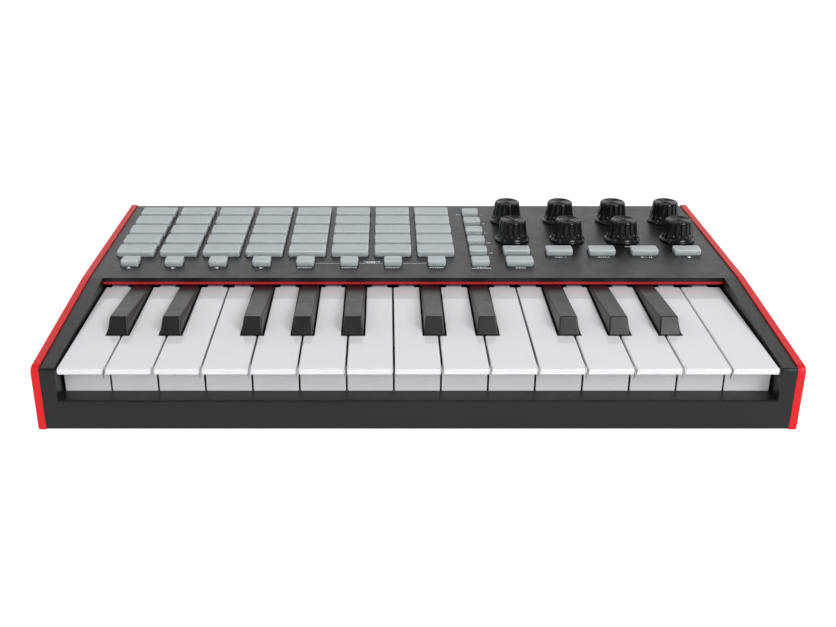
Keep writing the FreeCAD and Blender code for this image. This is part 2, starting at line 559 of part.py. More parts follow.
# ---------------------------------------------------------------- pads, buttons and knobs
def cap_group(label, x, y, width, depth, columns, rows=1, along_y=False):
    """A block of press caps, each with a flange under the panel that keeps it in."""
    body = new_body(label, x)
    half_width, half_depth = f"({width}) / 2", f"({depth}) / 2"
    cut = "CapCorner"
    corners = [(f"-1 * ({half_width} - {cut})", f"{y} - ({half_depth})"),
               (f"{half_width} - {cut}", f"{y} - ({half_depth})"),
               (half_width, f"{y} - ({half_depth} - {cut})"),
               (half_width, f"{y} + ({half_depth} - {cut})"),
               (f"{half_width} - {cut}", f"{y} + ({half_depth})"),
               (f"-1 * ({half_width} - {cut})", f"{y} + ({half_depth})"),
               (f"-1 * ({half_width})", f"{y} + ({half_depth} - {cut})"),
               (f"-1 * ({half_width})", f"{y} - ({half_depth} - {cut})")]
    cap = polygon(body, "XY_Plane", corners, "FlangeTop - FlangeThickness")
    pad(body, cap, "PanelTop + CapHeight - FlangeTop + FlangeThickness")
    wings = rectangle(body, "XY_Plane", f"-1 * ({half_width} + FlangeMargin)",
                      f"{y} - ({half_depth} + FlangeMargin)", f"{half_width} + FlangeMargin",
                      f"{y} + ({half_depth} + FlangeMargin)", "FlangeTop - FlangeThickness")
    pad(body, wings, "FlangeThickness")
    soften(body, lambda m, d: near(m.z, "PanelTop + CapHeight"), "CapEdge")
    if columns > 1:
        repeat(body, [], cap, columns, "ColumnPitch", whole=True)
    elif rows > 1:
        pattern = body.newObject("PartDesign::LinearPattern", "LinearPattern")
        pattern.TransformMode = "Whole shape"
        pattern.Direction = (cap, ["V_Axis"])
        pattern.Occurrences = rows
        pattern.setExpression("Length", bound(f"{rows - 1} * RowPitch"))
        body.Tip = pattern
        doc.recompute([body])
    return body


def knob(label, x, y):
    """A control knob: skirted base, fluted tapering grip, pointer rib and a stem."""
    body = doc.addObject("PartDesign::Body", "Body_" + label)
    body.Label = label
    place(body, x, y, "PanelTop + KnobLift")
    side = [("0", "0"), ("KnobFlangeRadius", "0"), ("KnobFlangeRadius", "KnobFlangeHeight / 3"),
            ("KnobBaseRadius", "KnobFlangeHeight"),
            ("KnobTopRadius", "KnobHeight - KnobCrown"),
            ("KnobTopRadius - KnobCrown", "KnobHeight"), ("0", "KnobHeight")]
    sketch = polygon(body, "XZ_Plane", side)
    turned = body.newObject("PartDesign::Revolution", "Revolution")
    turned.Profile = sketch
    turned.ReferenceAxis = (sketch, ["V_Axis"])
    turned.Angle = 360
    doc.recompute([body])
    stem = circle(body, "XY_Plane", ("0", "0"), "StemRadius")
    pad(body, stem, "KnobLift + PanelThickness + BoardDepth - PotDrop", reverse=True)
    flute_sketch = circle(body, "XY_Plane", ("KnobBaseRadius", "0"), "FluteRadius",
                          "FluteBottom")
    flute = pocket(body, flute_sketch, "KnobHeight", reverse=True)
    pattern = body.newObject("PartDesign::PolarPattern", "PolarPattern")
    pattern.Originals = [flute]
    pattern.Axis = (flute_sketch, ["N_Axis"])
    pattern.Angle = 360
    pattern.Occurrences = FLUTES
    body.Tip = pattern
    doc.recompute([body])
    rib = rectangle(body, "XY_Plane", "-0.5", "1 - KnobTopRadius", "0.5", "0",
                    "KnobHeight - KnobCrown")
    pad(body, rib, "KnobCrown + 0.3")
    body.setExpression("Placement.Rotation.Angle", bound("PointerAngle * 1deg"))
    return body


def pot_bodies():
    """Rotary controls on the main board; each has a bush that a knob's stem turns in."""
    body = new_body("pot_bodies", "WideColumn")
    half = "PotWidth / 2"
    box = rectangle(body, "XY_Plane", f"-1 * {half}", f"KnobRow - {half}", half,
                    f"KnobRow + {half}", "BoardTop")
    pad(body, box, "PotHeight")
    bush = circle(body, "XY_Plane", ("0", "KnobRow"), "StemRadius + StemClearance",
                  "BoardTop + PotDrop / 2")
    pocket(body, bush, "PotHeight", reverse=True)
    repeat(body, [], box, KNOB_COLUMNS, "KnobPitch", KNOB_ROWS, "2 * RowPitch", whole=True)
    return body


# ---------------------------------------------------------------- boards and sockets
def main_board():
    inside = "(CaseWidth / 2 - CaseWall - BoardGap)"
    return part_box("main_circuit_board", f"-1 * {inside}", "PanelFront + BoardFront",
                    "BoardBottom", f"2 * {inside}",
                    "CaseDepth - CaseWall - BoardGap - PanelFront - BoardFront",
                    "BoardThickness")


def usb_port():
    """Square data socket under the board, its mouth towards the rear."""
    shell = part_box("usb_shell", "UsbX - UsbWidth / 2", "PortFace - UsbDepth",
                     "BoardBottom - UsbHeight", "UsbWidth", "UsbDepth", "UsbHeight")
    mouth = part_box("usb_mouth", "UsbX - UsbMouthWidth / 2", "PortFace - UsbMouthDepth",
                     "BoardBottom - UsbHeight / 2 - UsbMouthHeight / 2", "UsbMouthWidth",
                     f"UsbMouthDepth + {BEYOND}", "UsbMouthHeight")
    socket = doc.addObject("Part::Cut", "UsbPort")
    socket.Label = "usb_port"
    socket.Base = shell
    socket.Tool = mouth
    return socket


def sustain_jack():
    """Pedal socket under the board: block, round nose in the rear wall and a plug bore."""
    body = new_body("sustain_jack", "JackX")
    centre = ("0", "BoardBottom - JackHeight / 2")
    block = rectangle(body, "XZ_Plane", "-JackWidth / 2", "BoardBottom - JackHeight",
                      "JackWidth / 2", "BoardBottom", "JackDepth - PortFace")
    pad(body, block, "JackDepth - CaseWall - 0.2", reverse=True)
    nose = circle(body, "XZ_Plane", centre, "JackNose", "JackDepth / 2 - PortFace")
    pad(body, nose, "JackDepth / 2", reverse=True)
    bore = circle(body, "XZ_Plane", centre, "JackBore", "JackDepth - PortFace + 1 - 3")
    pocket(body, bore, "JackDepth + 5")
    return body


# ---------------------------------------------------------------- build everything
pieces = [top_case(), bottom_case(), side_panel("left_side_panel", "-1"),
          side_panel("right_side_panel", "1"), felt_strip(), case_screws(), rubber_feet(),
          keybed_frame(), hinge_rod(), key_contact_board(), main_board(), pot_bodies(),
          usb_port(), sustain_jack()]
pieces += [white_key(index) for index in range(WHITE_KEYS)]
pieces += [black_key(number) for number in range(len(BLACK_KEYS))]
for row in range(PAD_ROWS):
    pieces.append(cap_group(f"pad_row_{row + 1}", "FirstColumn",
                            f"FirstRow + {row + 1} * RowPitch", "PadWidth", "PadDepth",
                            PAD_COLUMNS))
pieces.append(cap_group("track_buttons", "FirstColumn", "FirstRow", "SmallWidth",
                        "SmallDepth", PAD_COLUMNS))
pieces.append(cap_group("scene_buttons", "SceneColumn", "FirstRow", "SmallWidth",
                        "SmallDepth", 1, PAD_ROWS + 1))
pieces.append(cap_group("shift_button", "WideColumn", "FirstRow", "WideWidth", "SmallDepth", 1))
for column, label in enumerate(WIDE_BUTTONS):
    pieces.append(cap_group(label, f"WideColumn + {column} * ColumnPitch",
                            "FirstRow + RowPitch", "WideWidth", "SmallDepth", 1))
for row in range(KNOB_ROWS):
    for column in range(KNOB_COLUMNS):
        number = KNOB_COLUMNS * (KNOB_ROWS - 1 - row) + column + 1
        pieces.append(knob(f"knob_{number}", f"WideColumn + {column} * KnobPitch",
                           f"KnobRow + {2 * row} * RowPitch"))
doc.recompute()

for item in doc.Objects:
    if "Invalid" in item.State or "Error" in item.State:
        raise RuntimeError(f"{item.Label} did not compute: {item.State}")
os.makedirs("parts", exist_ok=True)
for piece in pieces:
    if piece.Shape.isNull() or not piece.Shape.isValid():
        raise RuntimeError(f"{piece.Label} has no valid shape")
    piece.Shape.exportStep(f"parts/{piece.Label}.step")
print(len(pieces), "pieces written")
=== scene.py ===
import math
import random

import bmesh
import bpy
from mathutils import Matrix, Vector


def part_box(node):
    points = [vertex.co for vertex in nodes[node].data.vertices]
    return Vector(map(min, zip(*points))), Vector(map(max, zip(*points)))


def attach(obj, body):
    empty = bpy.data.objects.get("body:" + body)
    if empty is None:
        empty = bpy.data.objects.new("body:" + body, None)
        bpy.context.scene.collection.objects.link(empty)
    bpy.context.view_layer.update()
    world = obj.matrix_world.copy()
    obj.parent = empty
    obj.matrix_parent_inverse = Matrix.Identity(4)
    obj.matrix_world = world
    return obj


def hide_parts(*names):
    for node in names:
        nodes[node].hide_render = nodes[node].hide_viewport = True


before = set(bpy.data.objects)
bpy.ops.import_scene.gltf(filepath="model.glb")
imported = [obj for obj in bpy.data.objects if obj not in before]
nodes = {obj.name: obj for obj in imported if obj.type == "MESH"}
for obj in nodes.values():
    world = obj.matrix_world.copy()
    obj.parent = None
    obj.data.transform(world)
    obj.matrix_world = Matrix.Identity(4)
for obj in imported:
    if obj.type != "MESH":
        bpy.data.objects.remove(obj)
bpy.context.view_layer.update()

MM = 0.001
scene = bpy.context.scene
random.seed(25)


# ------------------------------------------------------------------ places taken from the frame
def box_mm(node):
    """Lowest and highest corner of a CAD node, in millimetres."""
    low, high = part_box(node)
    return low / MM, high / MM


PANEL_Z = box_mm("top_case")[1].z           # top face of the control panel


def solid_boxes(node):
    """The boxes of a node's separate solids, left to right then front to back, in millimetres."""
    mesh = nodes[node].data
    work = bmesh.new()
    work.from_mesh(mesh)
    bmesh.ops.remove_doubles(work, verts=work.verts, dist=1e-6)
    seen, boxes = set(), []
    for start in work.verts:
        if start in seen:
            continue
        todo, group = [start], []
        seen.add(start)
        while todo:
            vert = todo.pop()
            group.append(vert.co)
            for edge in vert.link_edges:
                other = edge.other_vert(vert)
                if other not in seen:
                    seen.add(other)
                    todo.append(other)
        low = Vector([min(co[i] for co in group) / MM for i in range(3)])
        high = Vector([max(co[i] for co in group) / MM for i in range(3)])
        boxes.append((low, high))
    work.free()
    return sorted(boxes, key=lambda pair: (round(pair[0].y, 1), pair[0].x))


# ------------------------------------------------------------------ materials
def new_material(name, **values):
    """A material with one Principled shader, whose constant values are set on its own sockets."""
    material = bpy.data.materials.new(name)
    material.use_nodes = True
    shader = material.node_tree.nodes["Principled BSDF"]
    for socket, value in values.items():
        shader.inputs[socket.replace("_", " ")].default_value = value
    return material, material.node_tree, shader


def add_node(tree, kind, **values):
    node = tree.nodes.new(kind)
    for key, value in values.items():
        if key in node.inputs:
            node.inputs[key].default_value = value
        else:
            setattr(node, key, value)
    return node


def coordinates(tree, stretch=(1, 1, 1)):
    """Object coordinates in metres, stretched."""
    source = add_node(tree, "ShaderNodeTexCoord")
    mapping = add_node(tree, "ShaderNodeMapping")
    mapping.inputs["Scale"].default_value = stretch
    tree.links.new(source.outputs["Object"], mapping.inputs["Vector"])
    return mapping.outputs["Vector"]


def noise(tree, vector, scale, detail=3.0, rough=0.55):
    node = add_node(tree, "ShaderNodeTexNoise", Scale=scale, Detail=detail, Roughness=rough)
    tree.links.new(vector, node.inputs["Vector"])
    return node.outputs["Fac"]


def ramp(tree, factor, stops):
    """A colour ramp through (position, colour) stops."""
    node = add_node(tree, "ShaderNodeValToRGB")
    elements = node.color_ramp.elements
    while len(elements) < len(stops):
        elements.new(0.5)
    for element, (position, colour) in zip(elements, stops):
        element.position = position
        element.color = (*colour, 1.0)
    tree.links.new(factor, node.inputs["Fac"])
    return node.outputs["Color"]


def spread(tree, factor, low, high):
    """A factor around a half, mapped to low..high."""
    node = add_node(tree, "ShaderNodeMapRange")
    for socket, value in (("From Min", 0.3), ("From Max", 0.7), ("To Min", low), ("To Max", high)):
        node.inputs[socket].default_value = value
    tree.links.new(factor, node.inputs["Value"])
    return node.outputs["Result"]


def bump(tree, shader, height, distance, strength=1.0):
    node = add_node(tree, "ShaderNodeBump", Strength=strength, Distance=distance)
    tree.links.new(height, node.inputs["Height"])
    tree.links.new(node.outputs["Normal"], shader.inputs["Normal"])


def tinted(colour, share):
    return tuple(min(1.0, channel * share) for channel in colour)


def moulded(name, colour, rough, grain=2200.0, depth=0.012, vary=0.07, rough_vary=0.05, **values):
    """Moulded plastic: slightly uneven colour, fine spark-eroded grain and uneven gloss."""
    material, tree, shader = new_material(name, **values)
    place = coordinates(tree)
    cloud = noise(tree, place, 38.0, 4.0)
    shade = ramp(tree, cloud, [(0.3, tinted(colour, 1 - vary)), (0.7, tinted(colour, 1 + vary))])
    tree.links.new(shade, shader.inputs["Base Color"])
    fine = noise(tree, place, grain, 2.0)
    tree.links.new(spread(tree, noise(tree, place, 190.0, 3.0), rough - rough_vary, rough + rough_vary),
                   shader.inputs["Roughness"])
    if depth:
        bump(tree, shader, fine, depth * MM)
    return material


case_plastic = moulded("case_plastic", (0.0095, 0.0095, 0.0098), 0.36, grain=2600.0, depth=0.008, IOR=1.43)
floor_plastic = moulded("floor_plastic", (0.014, 0.014, 0.0145), 0.5, grain=1500.0, depth=0.02)
side_plastic = moulded("side_plastic", (0.66, 0.008, 0.012), 0.42, grain=2600.0, depth=0.006, vary=0.015,
                        rough_vary=0.015, IOR=1.36)
white_plastic = moulded("white_key_plastic", (0.715, 0.715, 0.73), 0.085, depth=0.0, vary=0.01,
                        rough_vary=0.02)
black_plastic = moulded("black_key_plastic", (0.008, 0.008, 0.0084), 0.38, grain=3000.0, depth=0.004,
                        Specular_IOR_Level=0.56)
cap_rubber = moulded("cap_rubber", (0.455, 0.497, 0.515), 0.5, grain=3000.0, depth=0.003, vary=0.02,
                     Subsurface_Weight=1.0, Subsurface_Scale=0.004)
cap_rubber.node_tree.nodes["Principled BSDF"].inputs["Subsurface Radius"].default_value = (1, 1, 1)
knob_plastic = moulded("knob_plastic", (0.0055, 0.0055, 0.006), 0.19, grain=2600.0, depth=0.001)
foot_rubber = moulded("foot_rubber", (0.02, 0.02, 0.02), 0.7, grain=1400.0, depth=0.03)
frame_plastic = moulded("frame_plastic", (0.03, 0.03, 0.031), 0.5, grain=1800.0, depth=0.01)
socket_plastic = moulded("socket_plastic", (0.012, 0.012, 0.013), 0.35, grain=2600.0, depth=0.004)
print_white = moulded("print_white", (0.92, 0.92, 0.92), 0.5, grain=4000.0, depth=0.0, vary=0.02)


def metal(name, colour, rough, stretch=(1, 1, 1)):
    """Plated or drawn metal with faint drawing marks."""
    material, tree, shader = new_material(name, Metallic=1.0)
    place = coordinates(tree, stretch)
    marks = noise(tree, place, 600.0, 4.0, 0.7)
    shade = ramp(tree, marks, [(0.3, tinted(colour, 0.9)), (0.7, tinted(colour, 1.08))])
    tree.links.new(shade, shader.inputs["Base Color"])
    tree.links.new(spread(tree, marks, rough - 0.06, rough + 0.08), shader.inputs["Roughness"])
    bump(tree, shader, marks, 0.004 * MM)
    return material


screw_steel = metal("screw_steel", (0.35, 0.36, 0.37), 0.35)
rod_steel = metal("rod_steel", (0.62, 0.63, 0.65), 0.28, (0.05, 1, 1))
socket_metal = metal("socket_metal", (0.66, 0.66, 0.65), 0.3)
contact_gold = metal("contact_gold", (0.85, 0.62, 0.27), 0.3)


def felt_material():
    """Red key felt: short directionless nap with lighter fibres and a soft sheen."""
    material, tree, shader = new_material("felt", Roughness=0.85, Sheen_Weight=0.35,
                                          Sheen_Roughness=0.5)
    place = coordinates(tree, (0.35, 1, 1))
    fibres = noise(tree, place, 2600.0, 6.0, 0.75)
    patches = noise(tree, place, 120.0, 3.0)
    tint = ramp(tree, fibres, [(0.28, (0.28, 0.001, 0.005)), (0.5, (0.46, 0.004, 0.012)),
                               (0.75, (0.62, 0.015, 0.03))])
    shade = ramp(tree, patches, [(0.3, (0.86, 0.86, 0.86)), (0.7, (1.0, 1.0, 1.0))])
    mix = add_node(tree, "ShaderNodeMix", data_type="RGBA", blend_type="MULTIPLY")
    mix.inputs["Factor"].default_value = 1.0
    tree.links.new(tint, mix.inputs["A"])
    tree.links.new(shade, mix.inputs["B"])
    tree.links.new(mix.outputs["Result"], shader.inputs["Base Color"])
    bump(tree, shader, fibres, 0.12 * MM)
    return material


def board_material():
    """Green solder mask over a faint grid of tracks."""
    material, tree, shader = new_material("circuit_board", Roughness=0.35)
    place = coordinates(tree)
    tracks = add_node(tree, "ShaderNodeTexBrick", Scale=90.0)
    tracks.inputs["Color1"].default_value = (0.010, 0.075, 0.030, 1)
    tracks.inputs["Color2"].default_value = (0.012, 0.085, 0.034, 1)
    tracks.inputs["Mortar"].default_value = (0.018, 0.14, 0.055, 1)
    tree.links.new(place, tracks.inputs["Vector"])
    tree.links.new(tracks.outputs["Color"], shader.inputs["Base Color"])
    bump(tree, shader, tracks.outputs["Fac"], 0.03 * MM)
    return material


def spun_material():
    """The knob's turned top: fine rings round its axis, which draw reflections out along the radius."""
    material, tree, shader = new_material("knob_spun_top", Roughness=0.42, Anisotropic=1.0,
                                          Anisotropic_Rotation=0.25)
    place = coordinates(tree)
    tangent = add_node(tree, "ShaderNodeTangent", direction_type="RADIAL", axis="Z")
    tree.links.new(tangent.outputs["Tangent"], shader.inputs["Tangent"])
    length = add_node(tree, "ShaderNodeVectorMath", operation="LENGTH")
    tree.links.new(place, length.inputs[0])
    rings = add_node(tree, "ShaderNodeTexNoise", noise_dimensions="1D", Scale=5200.0, Detail=2.0)
    tree.links.new(length.outputs["Value"], rings.inputs["W"])
    shade = ramp(tree, rings.outputs["Fac"], [(0.3, (0.003, 0.003, 0.003)), (0.7, (0.007, 0.007, 0.0075))])
    tree.links.new(shade, shader.inputs["Base Color"])
    bump(tree, shader, rings.outputs["Fac"], 0.003 * MM)
    return material


felt = felt_material()
circuit_board = board_material()
spun_top = spun_material()

SLOT_MATERIALS = {
    "case_plastic": case_plastic, "floor_plastic": floor_plastic, "side_plastic": side_plastic,
    "felt": felt, "white_key_plastic": white_plastic, "black_key_plastic": black_plastic,
    "cap_rubber": cap_rubber, "knob_plastic": knob_plastic, "foot_rubber": foot_rubber,
    "screw_steel": screw_steel, "rod_steel": rod_steel, "frame_plastic": frame_plastic,
    "circuit_board": circuit_board, "socket_metal": socket_metal, "socket_plastic": socket_plastic,
}
for piece in nodes.values():
    slot = piece.data.materials[0].name
    piece.data.materials[0] = SLOT_MATERIALS[slot]


def crisp(piece, width, angle=32.0, segments=2, clamp=True):
    """Tiny rounded edges on a CAD piece, made by modifiers so that its mesh stays as it is."""
    weld = piece.modifiers.new("join_corners", "WELD")
    weld.merge_threshold = 1e-6
    edge = piece.modifiers.new("small_edges", "BEVEL")
    edge.width = width * MM
    edge.segments = segments
    edge.limit_method = "ANGLE"
    edge.angle_limit = math.radians(angle)
    edge.use_clamp_overlap = clamp
    edge.harden_normals = False


# ------------------------------------------------------------------ building meshes
def new_piece(name, work, materials, body, stands_for=(), smooth=True):
    """Turn a bmesh, drawn in millimetres, into an object that rides on a CAD body."""
    bmesh.ops.recalc_face_normals(work, faces=work.faces)
    mesh = bpy.data.meshes.new(name)
    for face in work.faces:
        face.smooth = smooth
    work.to_mesh(mesh)
    work.free()
    mesh.transform(Matrix.Scale(MM, 4))
    for material in materials:
        mesh.materials.append(material)
    piece = bpy.data.objects.new(name, mesh)
    scene.collection.objects.link(piece)
    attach(piece, body)
    if stands_for:
        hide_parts(*stands_for)
    return piece


def skin_rings(work, rings, cap_last=True, material=0):
    """Join closed rings of points into a skin that is closed by a face at its ends."""
    loops = [[work.verts.new(point) for point in ring] for ring in rings]
    count = len(loops[0])
    for lower, upper in zip(loops, loops[1:]):
        for i in range(count):
            j = (i + 1) % count
            work.faces.new((lower[i], lower[j], upper[j], upper[i])).material_index = material
    work.faces.new(list(reversed(loops[0]))).material_index = material
    if cap_last:
        work.faces.new(loops[-1]).material_index = material
    return loops


def sharpen(piece, angle=40.0):
    """Flat faces stay flat: edges over the angle are shaded sharp."""
    mesh = piece.data
    work = bmesh.new()
    work.from_mesh(mesh)
    for edge in work.edges:
        if len(edge.link_faces) == 2 and edge.calc_face_angle() > math.radians(angle):
            edge.smooth = False
    work.to_mesh(mesh)
    work.free()


# ------------------------------------------------------------------ knobs
FLUTES = 16
STEPS = 12                       # points round one flute
KNOB_HEIGHT = 11.0               # underside to the top of the pointer in the CAD knob, mm
POINTER_TURN = math.radians(30)  # the pointer stands at five o'clock, the knob's right-hand stop
KNOB_SIDE = [  # radius and height above the knob's underside, and how deep the flutes are there
    (6.2, 0.02, 0), (8.55, 0.0, 0), (8.85, 0.16, 0), (8.88, 0.42, 0), (8.66, 0.72, 0), (8.3, 1.0, 0),
    (8.02, 1.4, 0), (7.82, 1.9, 0), (7.7, 2.45, 0), (7.6, 2.9, 0.0), (7.54, 3.12, 0.16), (7.5, 3.34, 0.42),
    (7.45, 3.6, 0.64), (7.38, 3.95, 0.78), (7.28, 4.5, 0.82), (7.1, 5.6, 0.82), (6.92, 6.8, 0.8),
    (6.76, 8.0, 0.76), (6.62, 9.2, 0.7), (6.52, 9.85, 0.66), (6.38, 10.2, 0.6), (6.14, 10.46, 0.46),
    (5.86, 10.58, 0.22), (5.62, 10.62, 0.0), (5.46, 10.58, 0.0), (5.34, 10.46, 0.0),
]
TOP_DISC = [(5.3, 10.42), (4.0, 10.42), (2.6, 10.41), (1.2, 10.4)]


def flute(turn):
    """0 on the land between two flutes, 1 in the middle of a flute."""
    phase = turn * FLUTES / (2 * math.pi) % 1.0
    across = abs(phase - 0.5) / 0.22
    return math.sqrt(max(0.0, 1 - across * across)) if across < 1 else 0.0


def make_knob(number):
    name = f"knob_{number}"
    low, high = box_mm(name)
    middle = Vector(((low.x + high.x) / 2, (low.y + high.y) / 2, 0))
    base = high.z - KNOB_HEIGHT
    work = bmesh.new()
    count = FLUTES * STEPS
    turns = [2 * math.pi * i / count for i in range(count)]
    rings = []
    for radius, height, depth in KNOB_SIDE:
        ring = []
        for turn in turns:
            r = radius - depth * flute(turn)
            ring.append((r * math.sin(turn), -r * math.cos(turn), height))
        rings.append(ring)
    loops = skin_rings(work, rings, cap_last=False)
    last = loops[-1]
    for radius, height in TOP_DISC:
        ring = [work.verts.new((radius * math.sin(t), -radius * math.cos(t), height)) for t in turns]
        for i in range(count):
            j = (i + 1) % count
            work.faces.new((last[i], last[j], ring[j], ring[i])).material_index = 1
        last = ring
    work.faces.new(last).material_index = 1

    # the pointer: a low ridge right across the top, its leading end running down over the edge
    ridge = [(-5.9, 10.40, 0.20), (-5.3, 10.72, 0.26), (0.0, 10.74, 0.30), (5.6, 10.80, 0.36),
             (6.25, 10.70, 0.38), (6.62, 10.15, 0.40), (6.60, 9.4, 0.36)]
    sections = []
    for out, top, half in ridge:
        inner = out - 0.55 if out > 6 else out
        under = top - 0.7
        sections.append([(-half, -inner, under), (half, -inner, under), (half, -out, top - 0.14),
                         (half * 0.55, -out, top), (-half * 0.55, -out, top), (-half, -out, top - 0.14)])
    skin_rings(work, sections)
    bmesh.ops.rotate(work, verts=work.verts, matrix=Matrix.Rotation(POINTER_TURN, 3, "Z"))
    knob = new_piece(f"fluted_knob_{number}", work, [knob_plastic, spun_top], name)
    knob.location = (middle + Vector((0, 0, base))) * MM
    bpy.context.view_layer.update()
    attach(knob, name)
    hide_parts(name)
    sharpen(knob, 50)


for number in range(1, 9):
    make_knob(number)


# ------------------------------------------------------------------ pads and buttons
CAP_FLANGE = 0.9   # the hidden rim under the panel reaches this far past the cap, mm
FOOT_RECESS = 0.34  # how far the cap's foot stands in from its sides, mm


def rounded_outline(low, high, corner, inset, steps=4):
    """Points round a rectangle with round corners, moved in by inset."""
    points = []
    radius = max(corner - inset, 0.12)
    x0, x1 = low.x + inset + radius, high.x - inset - radius
    y0, y1 = low.y + inset + radius, high.y - inset - radius
    for cx, cy, start in ((x1, y1, 0), (x0, y1, 90), (x0, y0, 180), (x1, y0, 270)):
        for k in range(steps + 1):
            turn = math.radians(start + 90 * k / steps)
            points.append((cx + radius * math.cos(turn), cy + radius * math.sin(turn)))
    return points


def soft_cap(work, low, high, corner=0.9, edge=0.36):
    """One silicone cap: a recessed foot, drafted sides, round corners and a rounded rim."""
    top = high.z
    levels = [(FOOT_RECESS, PANEL_Z - 1.0), (FOOT_RECESS, PANEL_Z + 0.12),
              (0.0, PANEL_Z + 0.42), (0.05, top - edge)]
    for k in range(1, 5):
        turn = math.radians(90 * k / 4)
        levels.append((0.05 + edge * (1 - math.cos(turn)), top - edge * (1 - math.sin(turn))))
    levels.append((edge + 0.25, top))
    rings = [[(x, y, z) for x, y in rounded_outline(low, high, corner, inset)] for inset, z in levels]
    skin_rings(work, rings)


def make_caps(node):
    """Every cap of a CAD node above the panel, as one piece that moves with the node."""
    work = bmesh.new()
    rim = Vector((CAP_FLANGE, CAP_FLANGE, 0))
    for low, high in solid_boxes(node):
        soft_cap(work, low + rim, high - rim)
    piece = new_piece(f"{node}_silicone", work, [cap_rubber], node, [node])
    sharpen(piece, 60)


CAP_NODES = [name for name in nodes if name.startswith("pad_row")
             or name.endswith(("_button", "_buttons"))]
for name in CAP_NODES:
    make_caps(name)


# ------------------------------------------------------------------ printed marks
INK = 0.03         # thickness of the print, mm


def plate(work, points):
    """A thin closed shape of print on the panel, from its outline seen from above."""
    bottom = PANEL_Z - 0.01
    skin_rings(work, [[(x, y, z) for x, y in points] for z in (bottom, bottom + INK)])


def bar(work, x, y, width, depth):
    w, d = width / 2, depth / 2
    plate(work, [(x - w, y - d), (x + w, y - d), (x + w, y + d), (x - w, y + d)])


def triangle(work, x, y, turn, size=1.25):
    points = []
    for corner in (90, 210, 330):
        angle = math.radians(corner + turn)
        points.append((x + size * math.cos(angle), y + size * math.sin(angle) * 0.92))
    plate(work, points)


def disc(work, x, y, radius):
    plate(work, [(x + radius * math.cos(math.radians(a)), y + radius * math.sin(math.radians(a)))
                 for a in range(0, 360, 20)])


def dashes(work, x, y, width, height=0.95):
    """A short row of dashes of uneven width: a mark that is not lettering."""
    place = x - width / 2
    while place < x + width / 2 - 0.3:
        dash = random.choice((0.5, 0.75, 1.0))
        bar(work, place + dash / 2, y, dash, height)
        place += dash + 0.32


def cap_boxes(node):
    return [((low.x + high.x) / 2, low.y + CAP_FLANGE, high.y - CAP_FLANGE, high.x - CAP_FLANGE)
            for low, high in solid_boxes(node)]


def make_print():
    work = bmesh.new()
    tracks = sorted(cap_boxes("track_buttons"))
    for (x, front, rear, right), turn in zip(tracks[:4], (0, 180, 90, -90)):
        triangle(work, x, front - 2.0, turn)
    for x, front, rear, right in tracks[4:]:
        dashes(work, x, front - 1.75, 7.2, 0.8)
    line_y = (tracks[0][1] + tracks[0][2]) / 2 + 0.5
    for left, right in zip(tracks[4:], tracks[5:]):
        gap = right[0] - left[0] - 2 * (left[3] - left[0]) - 1.0
        bar(work, (left[0] + right[0]) / 2, line_y, gap, 0.22)
    centre = (tracks[5][0] + tracks[6][0]) / 2
    dashes(work, centre, line_y + 2.1, 7.0, 0.8)
    dashes(work, centre, line_y + 1.0, 4.6, 0.7)
    scenes = sorted(cap_boxes("scene_buttons"), key=lambda cap: cap[1])
    for x, front, rear, right in scenes[1:]:
        dashes(work, right + 2.2, (front + rear) / 2, 2.0, 0.7)
    x, front, rear, right = scenes[0]
    dashes(work, x, front - 1.3, 4.0, 0.6)
    dashes(work, x, front - 2.5, 9.0, 0.9)
    x, front, rear, right = scenes[-1]
    dashes(work, 2 * x - right - 2.2, (front + rear) / 2, 2.2, 0.7)
    (x, front, rear, right), = cap_boxes("shift_button")
    dashes(work, x, front - 2.0, 4.6, 0.8)
    for node in ("sustain_button", "octave_down_button", "octave_up_button"):
        (x, front, rear, right), = cap_boxes(node)
        dashes(work, x - 0.8, front - 2.2, 3.6, 0.85)
        bar(work, x + 2.6, front - 2.2, 1.2, 0.3)
        if node == "octave_up_button":
            bar(work, x + 2.6, front - 2.2, 0.3, 1.2)
    (x, front, rear, right), = cap_boxes("play_button")
    triangle(work, x - 2.0, front - 2.3, -90, 0.95)
    bar(work, x - 0.1, front - 2.3, 0.25, 1.4)
    bar(work, x + 1.6, front - 2.3, 0.45, 1.4)
    bar(work, x + 2.5, front - 2.3, 0.45, 1.4)
    (x, front, rear, right), = cap_boxes("record_button")
    disc(work, x, front - 2.2, 0.9)
    low, high = box_mm("knob_7")
    dashes(work, (low.x + high.x) / 2 + 1.0, low.y - 1.4, 3.0, 0.8)
    new_piece("panel_print", work, [print_white], "chassis", smooth=False)


make_print()


# ------------------------------------------------------------------ small edges on the CAD pieces
for name in ("top_case", "left_side_panel", "right_side_panel", "bottom_case"):
    crisp(nodes[name], 0.3)
for name in nodes:
    if name.startswith("white_key"):
        crisp(nodes[name], 0.55, angle=62.0, segments=3, clamp=False)
    elif name.startswith("black_key"):
        crisp(nodes[name], 0.25, angle=50.0, clamp=False)


# ------------------------------------------------------------------ inside the data socket
TONGUE_WIDTH, TONGUE_HEIGHT = 5.2, 3.0   # mm
TONGUE_ROOT, TONGUE_TIP = 9.0, 1.2       # depth of its two ends behind the socket's mouth, mm
CONTACT_WIDTH, CONTACT_PROUD = 1.0, 0.12
CONTACT_ASIDE = 1.25                     # from the tongue's middle, mm


def block(work, low, high, material=0):
    """A closed box between two corners."""
    corners = [(low[0], low[1]), (high[0], low[1]), (high[0], high[1]), (low[0], high[1])]
    skin_rings(work, [[(x, y, low[2]) for x, y in corners], [(x, y, high[2]) for x, y in corners]],
               material=material)


